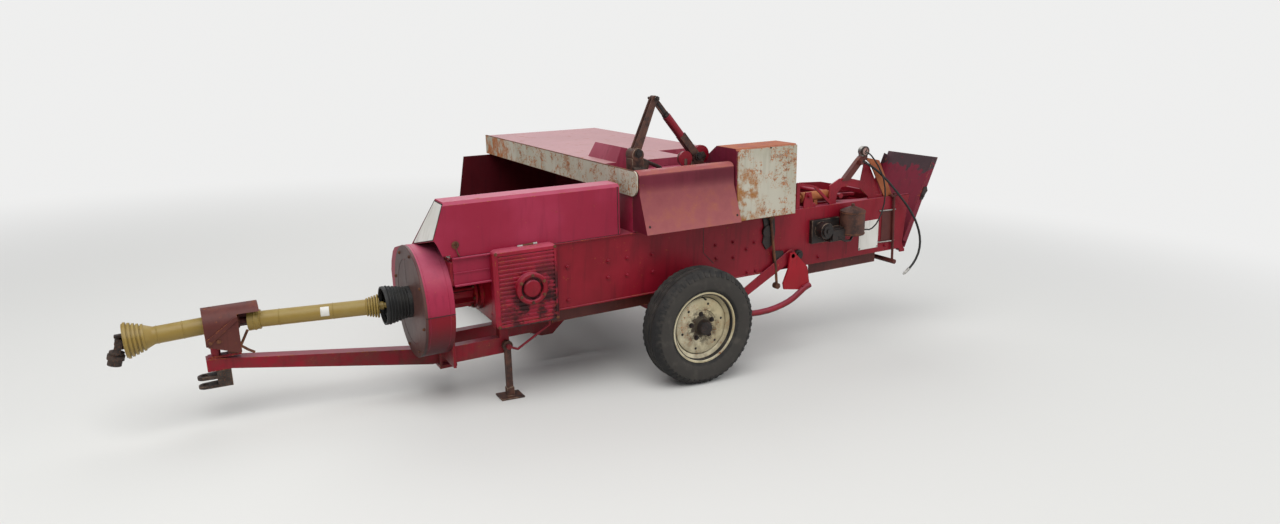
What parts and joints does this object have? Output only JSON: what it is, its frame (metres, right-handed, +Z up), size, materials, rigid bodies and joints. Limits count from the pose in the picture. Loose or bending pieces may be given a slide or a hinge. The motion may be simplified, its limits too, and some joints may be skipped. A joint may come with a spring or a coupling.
{
  "type": "square baler",
  "caption": "Towed small square baler: side pickup and cross feed, plunger chamber with knotter hood, shafted flywheel drive, drawbar, folded bale chute.",
  "frame": {"origin": "floor point under the middle of the length and width of everything but the loose hose", "axes": "+X to the rear along the machine, level; +Y to the right as seen driving; +Z up. The machine stands 3 degrees nose down in it."},
  "size_m": [5.2584, 2.92, 1.7204],
  "materials": {
    "deep_red": "worn gloss",
    "crimson": "faded satin",
    "cream": "rusty satin",
    "tyre": "dusty",
    "rim": "chalky",
    "iron": "oily",
    "guard": "faded",
    "rubber": "matt",
    "steel": "satin",
    "sign": "blank"
  },
  "bodies": {
    "baler": {"chamber": "deep_red", "chassis_rails": "deep_red", "front_frame": "deep_red", "axle": "deep_red", "gearbox": "iron", "gearbox_cover": "crimson", "flywheel_cover": "crimson", "plunger_hood": "crimson", "plunger": "iron", "side_shield": "crimson", "feeder_deck": "crimson", "feeder_housing": "deep_red", "feeder_hood": "crimson", "feeder_beam": "cream", "feeder_arms": "iron", "knotters": "iron", "needle_bracket": "crimson", "tension_rails": "deep_red", "tension_frame": "deep_red", "tension_pump": "iron", "tension_gauge": "steel", "gauge_hose": "rubber", "tension_hose": "rubber", "blank_plate": "sign", "pto_bell": "rubber"},
    "wheel_left": {"tyre_left": "tyre", "rim_left": "rim"},
    "wheel_right": {"tyre_right": "tyre", "rim_right": "rim"},
    "flywheel": {"flywheel": "iron"},
    "drawbar": {"drawbar": "deep_red", "hitch_clevis": "iron", "pto_shield": "deep_red"},
    "pto_front": {"pto_front_guard": "guard"},
    "pto_shaft": {"pto_yoke": "iron"},
    "pto_end": {"pto_end_yoke": "iron"},
    "pto_rear": {"pto_rear_guard": "guard"},
    "stand": {"stand": "iron"},
    "pickup": {"pickup_frame": "deep_red", "pickup_strippers": "deep_red"},
    "reel": {"pickup_reel": "steel"},
    "pickup_wheel": {"gauge_wheel": "tyre"},
    "windguard": {"windguard": "deep_red"},
    "knotter_lid": {"knotter_shield": "cream"},
    "needles": {"needle_yoke": "deep_red"},
    "chute": {"chute": "crimson"}
  },
  "joints": [
    {"name": "wheel_left_spin", "type": "hinge", "parent": "baler", "child": "wheel_left", "pos_m": [0.45499, -1.365, 0.36], "axis": [0, 1, 0], "continuous": true},
    {"name": "wheel_right_spin", "type": "hinge", "parent": "baler", "child": "wheel_right", "pos_m": [0.45499, 1.365, 0.36], "axis": [0, 1, 0], "continuous": true},
    {"name": "flywheel_spin", "type": "hinge", "parent": "baler", "child": "flywheel", "pos_m": [-1.05892, -0.915, 0.58608], "axis": [0.9986, 0, 0.0523], "continuous": true},
    {"name": "drawbar_swing", "type": "hinge", "parent": "baler", "child": "drawbar", "pos_m": [-0.93838, -0.745, 0.19685], "axis": [-0.0523, 0, 0.9986], "range_deg": [-3, 10]},
    {"name": "pto_rear_swing", "type": "hinge", "parent": "baler", "child": "pto_rear", "pos_m": [-1.28061, -0.915, 0.57446], "axis": [-0.0523, 0, 0.9986], "range_deg": [-4.3, 14.33]},
    {"name": "pto_front_pitch", "type": "hinge", "parent": "drawbar", "child": "pto_front", "pos_m": [-2.11746, -0.745, 0.5306], "axis": [0, 1, 0], "range_deg": [-12, 8]},
    {"name": "pto_yoke_spin", "type": "hinge", "parent": "pto_front", "child": "pto_shaft", "pos_m": [-2.11746, -0.745, 0.5306], "axis": [-0.9959, 0, -0.0906], "continuous": true},
    {"name": "pto_end_fold", "type": "hinge", "parent": "pto_shaft", "child": "pto_end", "pos_m": [-2.5676, -0.745, 0.48964], "axis": [0, 1, 0], "range_deg": [0, 70]},
    {"name": "stand_fold", "type": "hinge", "parent": "baler", "child": "stand", "pos_m": [-0.68407, -1.11, 0.31232], "axis": [0, -1, 0], "range_deg": [0, 90]},
    {"name": "pickup_lift", "type": "hinge", "parent": "baler", "child": "pickup", "pos_m": [0.00479, 0.255, 0.42853], "axis": [0, 1, 0], "range_deg": [-8, 12]},
    {"name": "reel_spin", "type": "hinge", "parent": "pickup", "child": "reel", "pos_m": [-0.2451, 0.255, 0.34334], "axis": [0, 1, 0], "continuous": true},
    {"name": "pickup_wheel_spin", "type": "hinge", "parent": "pickup", "child": "pickup_wheel", "pos_m": [-0.23809, 1.215, 0.20971], "axis": [0, 1, 0], "continuous": true},
    {"name": "windguard_lift", "type": "hinge", "parent": "pickup", "child": "windguard", "pos_m": [-0.11733, 0.255, 0.58035], "axis": [0, 1, 0], "range_deg": [0, 40]},
    {"name": "knotter_lid_lift", "type": "hinge", "parent": "baler", "child": "knotter_lid", "pos_m": [0.98258, -0.681, 1.08861], "axis": [-0.9986, 0, -0.0523], "range_deg": [0, 70]},
    {"name": "needle_swing", "type": "hinge", "parent": "baler", "child": "needles", "pos_m": [1.27892, -0.945, 0.68857], "axis": [0, 1, 0], "range_deg": [-74, 0]},
    {"name": "chute_fold", "type": "hinge", "parent": "baler", "child": "chute", "pos_m": [2.35936, -0.945, 0.63204], "axis": [0, 1, 0], "range_deg": [0, 85]}
  ],
  "couplings": [
    {"joint": "pto_rear_swing", "follows": "drawbar_swing", "ratio": 1.4333}
  ]
}
